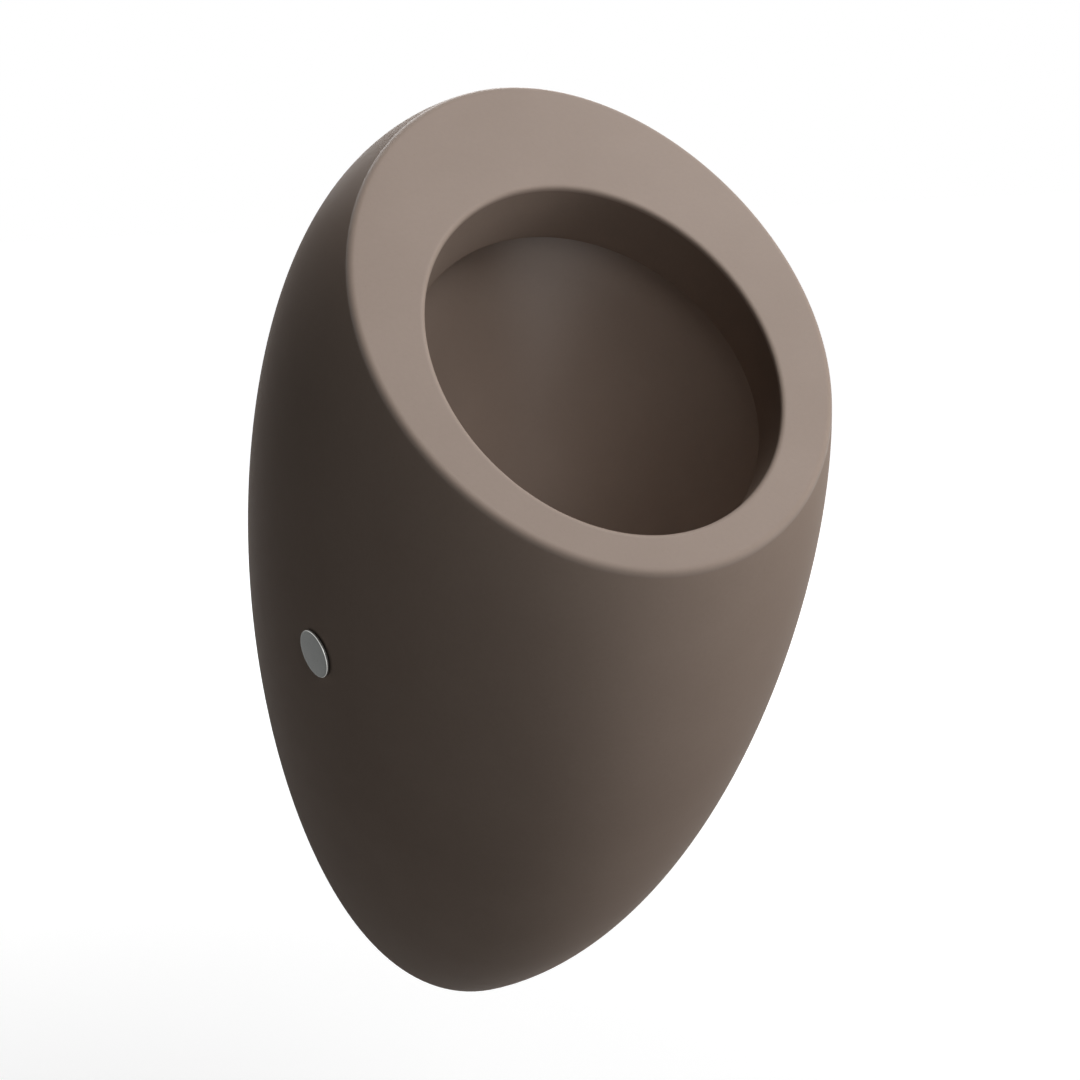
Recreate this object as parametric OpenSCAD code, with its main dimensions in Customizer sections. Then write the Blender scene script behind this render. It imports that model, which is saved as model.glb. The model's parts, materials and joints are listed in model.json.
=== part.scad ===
// Wall hung urinal with an oblique oval mouth, its concealed water inlet, trap and wall fixings.
// The wall is the plane y = 0, the front faces -Y and +Z is up.
// The origin is on the wall, midway between the two side brackets' wall screws.

/* [Body] */
// Greatest width of the ceramic body
body_w = 310; // [290:1:330]
// Height of the whole egg, before the wall and the rim cut it
egg_h = 662; // [640:1:680]
// Distance from the origin down to the egg's lowest point
egg_drop = 364; // [355:1:370]
// Front-to-back half depth of the egg at its middle
egg_depth = 228; // [220:1:236]
// Wall thickness of the outer skin
skin_t = 10; // [9:0.5:11]
// Wall thickness of the inner bowl
bowl_t = 9; // [8:0.5:10]

/* [Rim] */
// Slope of the rim face from the horizontal, in degrees
rim_slope = 40.5; // [39:0.5:42]
// Height of the rim plane at its reference line
rim_z = 230; // [226:1:234]
// Distance of that reference line from the wall
rim_y = 125; // [120:1:130]
// Width of the mouth
mouth_w = 185; // [178:1:190]
// Length of the mouth along the rim face
mouth_len = 228; // [220:1:232]
// Distance of the mouth's middle from the reference line, down the rim face
mouth_shift = 93.5; // [91:0.5:96]
// Rounding of the rim's outer edge
rim_round = 3; // [2:0.5:6]
// Rounding of the mouth's edge
mouth_round = 3; // [2:0.5:6]

/* [Bowl] */
// Depth of the straight band inside the mouth
band_depth = 40; // [38:0.5:42]
// Width of the band's lower edge
band_w = 190; // [186:1:194]
// Length of the band's lower edge
band_len = 218; // [212:1:222]
// How far the bowl runs out behind the band at the sides and the front
undercut = 12; // [10:0.5:14]
// Distance from the wall to the bowl's back
bowl_back = 42; // [40:1:44]
// How far in front of its back the bowl's top lies, where the water comes in
bowl_top_in = 14.4; // [14:0.2:15]
// Height of the sump's floor below the origin
sump_drop = 62; // [58:1:64]
// Radius of the sump
sump_r = 34; // [33.5:0.5:35]
// Distance of the drain's axis from the wall
drain_y = 82; // [80:1:84]

/* [Drain] */
// Outer radius of the drain tube
drain_r = 24; // [23:0.25:24.5]
// Wall thickness of the drain tube
drain_t = 2.5; // [2:0.25:3]
// Radius of the drain flange
flange_r = 32.5; // [31:0.5:33]
// Thickness of the drain flange
flange_t = 3; // [2.5:0.25:3.5]
// Radius of the strainer plate
strainer_r = 29; // [28:0.5:29.5]
// Thickness of the strainer plate
strainer_t = 1.5; // [1:0.25:2]
// Outer radius of the trap body
trap_r = 36; // [35:0.5:37]
// Wall thickness of the trap body
trap_t = 2.5; // [2:0.25:3]
// Height of the trap body
trap_h = 98; // [94:1:100]
// Outer radius of the outlet pipe
outlet_r = 20; // [19:0.25:20.5]
// Wall thickness of the outlet pipe
outlet_t = 1.8; // [1.5:0.1:2.5]
// How far the outlet pipe runs into the wall
outlet_reach = 40; // [30:1:60]

/* [Inlet] */
// Drop of the inlet's axis below the top of the bowl's back
inlet_drop = 13; // [12.5:0.5:14]
// Outer radius of the inlet pipe
inlet_r = 7.5; // [7:0.1:7.8]
// Wall thickness of the inlet pipe
inlet_t = 1; // [0.8:0.1:1.5]
// How far the inlet pipe runs into the wall
inlet_reach = 30; // [20:1:40]
// Outer radius of the spud's tube
spud_r = 10.5; // [10.3:0.1:10.8]
// Radius of the spud's flange inside the bowl
spud_flange_r = 14; // [13.5:0.1:14.3]
// Radius of the spreader's head
spreader_r = 8; // [7.5:0.1:8.5]

/* [Side fixing] */
// Distance of the side fixing's centre from the wall
side_y = 131; // [124:1:134]
// Radius of the hole in the flank
side_hole_r = 10.3; // [10.2:0.1:10.6]
// Radius of the cover cap
cap_r = 13.75; // [12.5:0.25:14]
// Thickness of the cover cap's plate
cap_t = 2.4; // [2:0.1:3]
// Distance of the side brackets' wall screws from the inner face of the ceramic
bracket_inset = 52; // [50:1:54]
// Thickness of the brackets' wall plates
plate_t = 5; // [4:0.5:6]

/* [Hooks] */
// Distance between the two wall hooks
hook_gap = 140; // [130:1:150]
// Height of the bar that hangs in the hooks, at its underside
bar_z = 142; // [138:1:146]
// Height of the bar
bar_h = 18; // [16:0.5:20]
// Thickness of the hooks' steel
hook_t = 4; // [3.5:0.25:4.5]

/* [Fasteners] */
// Shank radius of the wall screws and the side screws
screw_r = 4; // [3.9:0.05:4.1]
// Outer radius of the wall plugs
plug_r = 6; // [5.8:0.1:6.2]
// Length of the wall plugs
plug_len = 50; // [45:1:60]

/* [Hidden] */
glaze = "#7d6c60";
steel = "#8f918f";
nylon = "#d8d6cc";
rubber = "#2b2b2c";
plastic = "#4a4c4e";
brass = "#b79a55";
// Overrun of a cut past the face it opens
over = 1;
// Chamfer of turned and moulded edges
edge = 1;
// Clearance between fixed pieces that fit into each other
fit = 0.3;
// Radial clearance of a turning shank
run_fit = 0.05;
// Points round each loop of the ceramic body, and how far they crowd to its lower end, in degrees
loop_n = 48;
loop_lean = 16;
function loop_angle(k) = 360 * k / loop_n - loop_lean * cos(360 * k / loop_n);
// Rows of the skin, of the hollow behind and of the bowl
skin_rows = 12;
hollow_rows = 8;
bowl_rows = 10;
// Steps across a rounded edge
round_steps = 3;
// Halvings of the search for the skin along a ray
search_steps = 24;
// How the egg's half width, half depth and middle run with its height, as sums of powers from -1 to 1
width_shares = [1, 0.26, 0.08];
depth_shares = [1, 0.07, 0.23, 0.33, 0.06];
middle_shares = [0.13, 0.635, -0.29, 0, 0.035];
function power_sum(shares, u, i = 0) =
    i >= len(shares) ? 0 : shares[i] * pow(u, i) + power_sum(shares, u, i + 1);
function blend(a, b, t) = a + (b - a) * t;
function curve4(p, t) =
    pow(1 - t, 3) * p[0] + 3 * pow(1 - t, 2) * t * p[1] + 3 * (1 - t) * t * t * p[2] + pow(t, 3) * p[3];
function curve3(a, b, c, t) = (1 - t) * (1 - t) * a + 2 * t * (1 - t) * b + t * t * c;
function level(z) = 2 * (z + egg_drop) / egg_h - 1;
function bulge(u) = sqrt(max(0, 1 - u * u));
width_peak = max([for (u = [-1:0.02:1]) bulge(u) * power_sum(width_shares, u)]);
function half_w(z) = body_w / 2 * bulge(level(z)) * power_sum(width_shares, level(z)) / width_peak;
function half_d(z) = egg_depth * bulge(level(z)) * power_sum(depth_shares, level(z));
function mid_y(z) = -egg_depth * power_sum(middle_shares, level(z));
function egg_value(p) =
    abs(level(p.z)) >= 1 ? 2 : pow(p.x / half_w(p.z), 2) + pow((p.y - mid_y(p.z)) / half_d(p.z), 2);
function on_ray(o, d, lo, hi, n) =
    let (m = (lo + hi) / 2)
    n == 0 ? m : egg_value(o + m * d) < 1 ? on_ray(o, d, m, hi, n - 1) : on_ray(o, d, lo, m, n - 1);

// The rim plane, as points (y, z) a distance down the slope and a depth below the face
function rim_point(down, depth) = [
    -rim_y - down * cos(rim_slope) + depth * sin(rim_slope),
    rim_z - down * sin(rim_slope) - depth * cos(rim_slope)];
// The line where a plane parallel to the rim meets the wall, and the loops' centres
function hinge_z(depth) = rim_z + rim_y * tan(rim_slope) - depth / cos(rim_slope);
rim_centre = rim_y / cos(rim_slope) + mouth_shift - mouth_round;
wall_centre_share = 0.06;
wall_centre_z = egg_h * wall_centre_share;
rim_angle = 90 - rim_slope;
function fan(t) = [0, -sin(t), -cos(t)];
// A loop round the egg, in the plane at an angle t from the wall about the hinge line
function skin_loop(depth, share, inset) =
    let (t = rim_angle * share)
    let (reach = blend(hinge_z(depth) - wall_centre_z, rim_centre - depth * tan(rim_slope), share))
    let (o = [0, 0, hinge_z(depth)] + reach * fan(t))
    [for (k = [0:loop_n - 1]) let (a = loop_angle(k))
        let (d = [cos(a), 0, 0] - sin(a) * fan(t))
        o + (on_ray(o, d, 0, body_w + egg_depth, search_steps) - inset) * d];
// An oval between a back point and a front point, both (y, z)
function oval(back, front, hw) = [for (k = [0:loop_n - 1])
    let (a = loop_angle(k), m = (back + front) / 2, h = (back - front) / 2)
    [hw * cos(a), m[0] + h[0] * sin(a), m[1] + h[1] * sin(a)]];
function loop_blend(a, b, c, t) = [for (k = [0:loop_n - 1]) curve3(a[k], b[k], c[k], t)];

mouth_top = mouth_shift - mouth_len / 2;
mouth_low = mouth_shift + mouth_len / 2;
// The band's lower edge sits a little higher up the slope than the mouth
band_lift = 4.5;
band_top = mouth_shift - band_lift - band_len / 2;
band_low = mouth_shift - band_lift + band_len / 2;
function band_loop(depth, grow) =
    let (s = depth / band_depth)
    oval(rim_point(blend(mouth_top, band_top, s) - grow, depth),
        rim_point(blend(mouth_low, band_low, s) + grow, depth), blend(mouth_w, band_w, s) / 2 + grow);
// How far down the slope a point of a plane below the rim's face lies, from its y
function down_at(y, depth) = (depth * sin(rim_slope) - rim_y - y) / cos(rim_slope);
// The bowl's back and front profiles, (y, z), from the undercut down to the sump
back_start = rim_point(down_at(-bowl_back - bowl_top_in, band_depth), band_depth);
front_start = rim_point(band_low + undercut, band_depth);
back_shares = [0.12, 0.72];
front_drop_share = 0.32;
front_run_share = 0.45;
sump_lift_share = 0.14;
bowl_fall = front_start[1] + sump_drop;
function back_points(g) = [
    back_start + [g, g],
    [-bowl_back + g, blend(back_start[1], -sump_drop, back_shares[0]) + g],
    [-bowl_back + g, blend(back_start[1], -sump_drop, back_shares[1])],
    [-drain_y + sump_r + g, -sump_drop - g]];
function front_points(g) = [
    front_start - [g, 0],
    front_start + [bowl_back * front_drop_share - g, -bowl_fall * front_run_share],
    [blend(front_start[0], -drain_y, front_run_share) - g / 2, -sump_drop + bowl_fall * sump_lift_share - g],
    [-drain_y - sump_r - g / 2, -sump_drop - g]];
width_power = 1.35;
function bowl_loop(s, g) = oval(curve4(back_points(g), s), curve4(front_points(g), s),
    blend(sump_r, band_w / 2 + undercut, 1 - pow(s, width_power)) + g);

// Bands of triangles between loops, closed by a point at each end
function bands(rows) = [for (r = [0:rows - 2]) for (k = [0:loop_n - 1])
    let (a = 1 + r * loop_n + k, b = 1 + r * loop_n + (k + 1) % loop_n)
    each [[a, b, a + loop_n], [b, b + loop_n, a + loop_n]]];
function flat_list(v) = [for (l = v) each l];
module closed_skin(first, loops, last) {
    n = len(loops) * loop_n;
    near_fan = [for (k = [0:loop_n - 1]) [0, 1 + (k + 1) % loop_n, 1 + k]];
    end = n - loop_n + 1;
    far_fan = [for (k = [0:loop_n - 1]) [n + 1, end + k, end + (k + 1) % loop_n]];
    polyhedron(concat([first], flat_list(loops), [last]), concat(near_fan, bands(len(loops)), far_fan));
}
module shell() {
    bowl = [for (r = [bowl_rows:-1:0]) bowl_loop(r / bowl_rows, 0)];
    band = [band_loop(band_depth, 0), band_loop(mouth_round, 0)];
    mouth_edge = [for (i = [1:round_steps])
        loop_blend(band_loop(mouth_round, 0), band_loop(0, 0), band_loop(0, mouth_round), i / round_steps)];
    rim_edge = [for (i = [0:round_steps])
        loop_blend(skin_loop(0, 1, rim_round), skin_loop(0, 1, 0), skin_loop(rim_round, 1, 0), i / round_steps)];
    skin = [for (r = [1:skin_rows]) skin_loop(rim_round, 1 - r / skin_rows, 0)];
    rim_wall = skin_t + mouth_round;
    hollow = [for (r = [0:hollow_rows]) skin_loop(rim_wall, r / hollow_rows, skin_t)];
    band_back = [band_loop(rim_wall, bowl_t), band_loop(band_depth - bowl_t, bowl_t)];
    bowl_outside = [for (r = [0:bowl_rows]) bowl_loop(r / bowl_rows, bowl_t)];
    inside = concat(bowl, band, mouth_edge);
    outside = concat(rim_edge, skin, hollow, band_back, bowl_outside);
    closed_skin([0, -drain_y, -sump_drop], concat(inside, outside), [0, -drain_y, -sump_drop - bowl_t]);
}

// Helpers for the turned pieces
module ring(r_out, r_in, h) {
    difference() {
        cylinder(r = r_out, h = h, $fn = 96);
        translate([0, 0, -over]) cylinder(r = r_in, h = h + 2 * over, $fn = 96);
    }
}
// Turns what is drawn along +Z so that it runs along +Y, towards the wall
module to_wall(x, y, z) {
    translate([x, y, z]) rotate([-90, 0, 0]) children();
}

// Drain levels, from the sump's floor down
seat_depth = 5;
gasket_t = 1.5;
drain_boss_r = 40;
drain_boss_h = 18;
drain_hole_gap = 2;
lower_gasket_t = 4;
drain_nut_h = 8.5;
nut_gap = 1;
drain_tube_dip = 12;
outlet_drop = 30;
drain_seat_z = -sump_drop - seat_depth;
flange_z = drain_seat_z + gasket_t;
boss_z = -sump_drop - drain_boss_h;
nut_z = boss_z - lower_gasket_t - drain_nut_h;
trap_top_z = nut_z - nut_gap;
drain_tube_end = trap_top_z - drain_tube_dip;
trap_floor_z = trap_top_z - trap_h;
outlet_z = trap_top_z - outlet_drop;

// Inlet planes, from the bowl's back to the wall
inlet_seat_in = 8;
inlet_boss_out = 8;
inlet_boss_r = 20;
boss_root_share = 0.6;
spud_hole_gap = 1;
inlet_z = back_start[1] - inlet_drop;
inlet_seat_y = -bowl_back - inlet_seat_in;
inlet_boss_y = -bowl_back + inlet_boss_out;
inlet_boss_start = -bowl_back - bowl_t * boss_root_share;

// The hanging bar's place between the hooks' plates and their lips
bar_gap = 1.5;
bar_t = 9;
bar_root = 3;
bar_back_y = -hook_t - bar_gap;
function wall_half_w(z) = half_w(z) * sqrt(1 - pow(mid_y(z) / half_d(z), 2));
bar_half = wall_half_w(bar_z + bar_h) - skin_t + bar_root;
bracket_x = wall_half_w(0) - skin_t - bracket_inset;

// The side fixing: where its axis leaves the flank, and the flank's outward direction there
side_x = half_w(0) * sqrt(1 - pow((-side_y - mid_y(0)) / half_d(0), 2));
side_point = [side_x, -side_y, 0];
side_slopes = [for (step = [[fit, 0, 0], [0, fit, 0], [0, 0, fit]])
    egg_value(side_point + step) - egg_value(side_point - step)];
side_dir = side_slopes / norm(side_slopes);
// Draws along that direction, a distance out of the flank
module at_side(out) {
    translate(side_point + out * side_dir)
        rotate([0, acos(side_dir.z), atan2(side_dir.y, side_dir.x)]) children();
}

module ceramic_body() {
    color(glaze) difference() {
        union() {
            shell();
            translate([0, -drain_y, boss_z])
                cylinder(r = drain_boss_r, h = drain_boss_h - bowl_t / 2, $fn = 96);
            to_wall(0, inlet_boss_start, inlet_z)
                cylinder(r = inlet_boss_r, h = inlet_boss_y - inlet_boss_start, $fn = 96);
            translate([-bar_half, bar_back_y - bar_t, bar_z]) cube([2 * bar_half, bar_t, bar_h]);
        }
        translate([0, -drain_y, boss_z - over])
            cylinder(r = drain_r + drain_hole_gap, h = drain_boss_h, $fn = 96);
        translate([0, -drain_y, drain_seat_z]) cylinder(r = flange_r + fit, h = seat_depth + over, $fn = 96);
        to_wall(0, inlet_seat_y - skin_t, inlet_z)
            cylinder(r = spud_r + spud_hole_gap, h = bowl_back, $fn = 96);
        to_wall(0, inlet_seat_y - skin_t, inlet_z) cylinder(r = spud_flange_r + fit, h = skin_t, $fn = 96);
        for (side = [0, 1]) mirror([side, 0, 0])
            at_side(-skin_t - 2 * over) cylinder(r = side_hole_r, h = skin_t + 4 * over, $fn = 96);
    }
}

// The inlet's spud is a tube with a flange in the bowl, and a socket for the pipe behind
spud_flange_t = 2.5;
spud_bore_r = 6;
spud_end_gap = 14;
pipe_seal_t = 1.2;
pipe_seal_h = 8;
pipe_seal_in = 8;
pipe_gap = 2;
socket_depth = 24;
spud_start_y = inlet_seat_y - gasket_t - spud_flange_t;
spud_end_y = -spud_end_gap;
spud_socket_y = spud_end_y - socket_depth;
spud_socket_r = inlet_r + pipe_seal_t;
inlet_pipe_start = spud_socket_y + pipe_gap;
module inlet_spud() {
    color(brass) difference() {
        to_wall(0, spud_start_y, inlet_z) union() {
            cylinder(r = spud_flange_r, h = spud_flange_t, $fn = 96);
            cylinder(r = spud_r, h = spud_end_y - spud_start_y, $fn = 96);
        }
        to_wall(0, spud_start_y - over, inlet_z) cylinder(r = spud_bore_r, h = bowl_back, $fn = 96);
        to_wall(0, spud_socket_y, inlet_z) cylinder(r = spud_socket_r, h = socket_depth + over, $fn = 96);
    }
}
module inlet_gasket() {
    color(rubber) to_wall(0, inlet_seat_y - gasket_t, inlet_z) ring(spud_flange_r, spud_r + fit, gasket_t);
}
inlet_nut_h = 8;
inlet_nut_r = 17;
rear_gasket_t = 2;
rear_gasket_r = 18;
module inlet_rear_gasket() {
    color(rubber) to_wall(0, inlet_boss_y, inlet_z) ring(rear_gasket_r, spud_r + fit, rear_gasket_t);
}
module inlet_lock_nut() {
    color(brass) to_wall(0, inlet_boss_y + rear_gasket_t, inlet_z) difference() {
        cylinder(r = inlet_nut_r, h = inlet_nut_h, $fn = 6);
        translate([0, 0, -over]) cylinder(r = spud_r + fit, h = inlet_nut_h + 2 * over, $fn = 96);
    }
}
// The spreader is a slotted head on a hollow stem that plugs into the spud
spreader_h = 6.5;
spreader_stem = 9;
spreader_bore_r = 4;
slot_n = 8;
slot_w = 2;
slot_h = 3;
spreader_y = spud_start_y - spreader_h - fit;
stem_end = spreader_h + spreader_stem;
module water_spreader() {
    color(steel) to_wall(0, spreader_y, inlet_z) difference() {
        rotate_extrude($fn = 96) polygon([
            [0, 0], [spreader_r - edge, 0], [spreader_r, edge], [spreader_r, spreader_h],
            [spud_bore_r - fit, spreader_h], [spud_bore_r - fit, stem_end], [0, stem_end]]);
        translate([0, 0, slot_h]) cylinder(r = spreader_bore_r, h = stem_end, $fn = 96);
        for (k = [0:slot_n - 1]) rotate([0, 0, 360 * k / slot_n])
            translate([0, -slot_w / 2, slot_h - over]) cube([spreader_r + over, slot_w, slot_h]);
    }
}
// A pipe end that runs from a depth behind the wall plane, with a stop rib at the wall and a chamfer
rib_h = 1.5;
rib_t = 2;
module wall_pipe(z, start, reach, r, t, colour) {
    color(colour) to_wall(0, 0, z) rotate_extrude($fn = 128) polygon([
        [r - t, start], [r, start], [r, 0], [r + rib_h, 0], [r + rib_h, rib_t], [r, rib_t],
        [r, reach - t / 2], [r - t / 2, reach], [r - t, reach]]);
}
module inlet_pipe() {
    wall_pipe(inlet_z, inlet_pipe_start, inlet_reach, inlet_r, inlet_t, steel);
}
module inlet_pipe_seal() {
    color(rubber) to_wall(0, inlet_pipe_start + pipe_seal_in, inlet_z)
        ring(spud_socket_r - run_fit, inlet_r + run_fit, pipe_seal_h);
}

// Drain and trap, drawn on the drain's axis at their real heights
module on_drain(z) {
    translate([0, -drain_y, z]) children();
}
ledge_drop = 7;
ledge_t = 2;
insert_gap = 2.7;
ledge_gap = 0.6;
drain_bore_r = drain_r - drain_t;
ledge_z = flange_z - ledge_drop;
insert_r = drain_bore_r - insert_gap;
strainer_z = flange_z + flange_t - strainer_t;
module drain_flange() {
    color(steel) on_drain(0) rotate_extrude($fn = 128) polygon([
        [drain_bore_r, strainer_z], [strainer_r + fit, strainer_z], [strainer_r + fit, flange_z + flange_t],
        [flange_r - edge, flange_z + flange_t], [flange_r, flange_z + flange_t - edge], [flange_r, flange_z],
        [drain_r, flange_z], [drain_r, drain_tube_end], [drain_bore_r, drain_tube_end],
        [drain_bore_r, ledge_z - ledge_t], [insert_r + ledge_gap, ledge_z - ledge_t],
        [insert_r + ledge_gap, ledge_z], [drain_bore_r, ledge_z]]);
}
module drain_gasket() {
    color(rubber) on_drain(drain_seat_z) ring(flange_r, drain_r + fit, gasket_t);
}
module drain_lower_gasket() {
    color(rubber) on_drain(boss_z - lower_gasket_t) ring(trap_r, drain_r + fit, lower_gasket_t);
}
module drain_lock_nut() {
    color(plastic) on_drain(nut_z) difference() {
        cylinder(r = trap_r, h = drain_nut_h, $fn = 8);
        translate([0, 0, -over]) cylinder(r = drain_r + fit, h = drain_nut_h + 2 * over, $fn = 96);
    }
}
// The strainer is a drilled plate with a small knob to lift it by
hole_r = 2;
hole_rings = 3;
hole_step = 7.5;
first_ring = 8.5;
knob_r = 4.5;
knob_neck_r = 3;
knob_h = 5;
knob_top = strainer_t + knob_h;
module strainer() {
    color(steel) on_drain(strainer_z + fit) difference() {
        rotate_extrude($fn = 128) polygon([
            [0, 0], [strainer_r, 0], [strainer_r, strainer_t], [knob_neck_r, strainer_t],
            [knob_neck_r, knob_top - knob_h / 2], [knob_r, knob_top - knob_h / 2 + edge],
            [knob_r, knob_top - edge], [knob_neck_r, knob_top], [0, knob_top]]);
        for (row = [0:hole_rings - 1]) let (count = 6 * (row + 1))
            for (k = [0:count - 1]) rotate([0, 0, 360 * k / count])
                translate([first_ring + hole_step * row, 0, -over])
                    cylinder(r = hole_r, h = strainer_t + 2 * over, $fn = 24);
    }
}
// The trap is a bottle with a collar round the drain tube and a socket for the outlet pipe
collar_t = 3;
collar_h = 16;
seal_t = 2.6;
ring_seal_h = 3;
socket_wall = 4.5;
socket_gap = 17.5;
lip_seal_h = 6;
trap_chamfer = 8;
socket_r = outlet_r + fit;
socket_end_y = -socket_gap;
socket_start_y = trap_r - drain_y + edge;
inner_r = trap_r - trap_t;
collar_r = drain_r + collar_t;
module trap_body() {
    color(plastic) difference() {
        union() {
            on_drain(0) rotate_extrude($fn = 128) polygon([
                [0, trap_floor_z], [trap_r - trap_chamfer, trap_floor_z], [trap_r, trap_floor_z + trap_chamfer],
                [trap_r, trap_top_z], [0, trap_top_z]]);
            to_wall(0, -drain_y, outlet_z)
                cylinder(r = socket_r + socket_wall, h = drain_y + socket_end_y, $fn = 96);
        }
        on_drain(0) rotate_extrude($fn = 128) polygon([
            [0, trap_floor_z + trap_t], [inner_r - trap_chamfer + trap_t / 2, trap_floor_z + trap_t],
            [inner_r, trap_floor_z + trap_chamfer + trap_t / 2], [inner_r, trap_top_z - trap_t],
            [collar_r, trap_top_z - trap_t], [collar_r, trap_top_z - collar_h],
            [drain_r + fit, trap_top_z - collar_h], [drain_r + fit, trap_top_z + over], [0, trap_top_z + over]]);
        on_drain(drain_tube_end + ring_seal_h) cylinder(r = drain_r + seal_t, h = ring_seal_h, $fn = 96);
        to_wall(0, inner_r - drain_y - 2 * over, outlet_z)
            cylinder(r = outlet_r - outlet_t, h = drain_y, $fn = 96);
        to_wall(0, socket_start_y, outlet_z) cylinder(r = socket_r, h = drain_y, $fn = 96);
        to_wall(0, socket_end_y - lip_seal_h, outlet_z)
            cylinder(r = outlet_r + seal_t + run_fit, h = lip_seal_h + over, $fn = 96);
    }
}
module trap_seal_ring() {
    color(rubber) on_drain(drain_tube_end + ring_seal_h)
        ring(drain_r + seal_t - run_fit, drain_r + run_fit, ring_seal_h);
}
// The insert hangs in the drain tube on its ring, and its tube dips under the water
o_ring_r = 0.9;
insert_t = 1.8;
insert_ring_t = 2;
insert_floor_gap = 8;
handle_w = 5;
handle_h = 4;
insert_ring_z = ledge_z + 2 * o_ring_r + fit + run_fit;
insert_ring_r = drain_bore_r - fit;
insert_end_z = trap_floor_z + insert_floor_gap;
module trap_insert() {
    color(nylon) on_drain(0) union() {
        rotate_extrude($fn = 128) polygon([
            [insert_r - insert_t, insert_end_z], [insert_r, insert_end_z], [insert_r, insert_ring_z],
            [insert_ring_r, insert_ring_z], [insert_ring_r, insert_ring_z + insert_ring_t],
            [insert_r - insert_t, insert_ring_z + insert_ring_t]]);
        translate([-insert_r + insert_t / 2, -handle_w / 2, insert_ring_z + insert_ring_t - handle_h])
            cube([2 * insert_r - insert_t, handle_w, handle_h]);
    }
}
module insert_o_ring() {
    color(rubber) on_drain(ledge_z + o_ring_r + fit) rotate_extrude($fn = 96)
        translate([insert_ring_r - o_ring_r - run_fit, 0]) circle(r = o_ring_r, $fn = 32);
}
pipe_end_gap = 1;
module outlet_pipe() {
    wall_pipe(outlet_z, socket_start_y + pipe_end_gap, outlet_reach, outlet_r, outlet_t, plastic);
}
module outlet_lip_seal() {
    color(rubber) to_wall(0, socket_end_y - lip_seal_h, outlet_z)
        ring(outlet_r + seal_t, outlet_r + run_fit, lip_seal_h);
}
cuff_r = 30;
cuff_t = 6;
cuff_neck = 3;
cuff_bore_r = outlet_r + run_fit;
module wall_cuff() {
    color(rubber) to_wall(0, -cuff_t, outlet_z) rotate_extrude($fn = 96) polygon([
        [cuff_bore_r, 0], [cuff_bore_r + cuff_neck, 0], [cuff_r, cuff_t - edge], [cuff_r, cuff_t],
        [cuff_bore_r, cuff_t]]);
}

// Side fixings, drawn on the right and mirrored to the left
bush_tail = 9;
boss_r = 11;
boss_len = 20;
arm_w = 12;
arm_h = 40;
plate_h = 56;
plate_in = 16;
plate_out = 30;
hole_gap = 0.5;
bush_end = -skin_t - bush_tail;
boss_far = bush_end - fit - boss_len;
module bracket() {
    difference() {
        union() {
            hull() {
                at_side(boss_far) cylinder(r = boss_r - edge, h = boss_len - edge, $fn = 32);
                translate([bracket_x + plate_out - arm_w, -plate_t, -arm_h / 2]) cube([arm_w, plate_t, arm_h]);
            }
            at_side(boss_far) cylinder(r = boss_r, h = boss_len, $fn = 96);
            translate([bracket_x - plate_in, -plate_t, -plate_h / 2])
                cube([plate_in + plate_out, plate_t, plate_h]);
        }
        at_side(boss_far - boss_len) cylinder(r = screw_r + run_fit, h = 2 * boss_len + over, $fn = 96);
        to_wall(bracket_x, -plate_t - over, 0)
            cylinder(r = screw_r + hole_gap, h = plate_t + 2 * over, $fn = 96);
    }
}
module bracket_left() {
    color(steel) mirror([1, 0, 0]) bracket();
}
module bracket_right() {
    color(steel) bracket();
}
// Each bush lines the hole in the ceramic and holds the screw's head below the surface
bush_sink = 0.6;
head_seat_r = 7.5;
head_seat_depth = 8.8;
module side_bush() {
    difference() {
        at_side(bush_end) cylinder(r = side_hole_r - fit, h = -bush_sink - bush_end, $fn = 96);
        at_side(bush_end - over) cylinder(r = screw_r + fit, h = -bush_end, $fn = 96);
        at_side(-head_seat_depth) cylinder(r = head_seat_r, h = head_seat_depth, $fn = 96);
    }
}
module side_bush_left() {
    color(nylon) mirror([1, 0, 0]) side_bush();
}
module side_bush_right() {
    color(nylon) side_bush();
}
side_head_r = 6.5;
side_head_t = 5;
side_screw_len = 34;
key_r = 2.9;
key_depth = 3;
head_low = fit - head_seat_depth;
module side_screw() {
    difference() {
        union() {
            at_side(head_low) cylinder(r = side_head_r, h = side_head_t, $fn = 96);
            at_side(head_low - side_screw_len) cylinder(r = screw_r, h = side_screw_len + over, $fn = 96);
        }
        at_side(head_low + side_head_t - key_depth) cylinder(r = key_r, h = key_depth + over, $fn = 6);
    }
}
module side_screw_left() {
    color(steel) mirror([1, 0, 0]) side_screw();
}
module side_screw_right() {
    color(steel) side_screw();
}
// Each cap is a disc with a ring behind it that pushes into the bush
cap_round = 0.6;
stem_t = 1.4;
stem_depth = 3.2;
stem_r = head_seat_r - fit;
cap_face = fit + cap_t;
module cap() {
    at_side(0) rotate_extrude($fn = 128) polygon([
        [0, fit], [stem_r - stem_t, fit], [stem_r - stem_t, -stem_depth], [stem_r, -stem_depth], [stem_r, fit],
        [cap_r, fit], [cap_r, cap_face - cap_round], [cap_r - cap_round, cap_face], [0, cap_face]]);
}
module cap_left() {
    color(steel) mirror([1, 0, 0]) cap();
}
module cap_right() {
    color(steel) cap();
}

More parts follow.
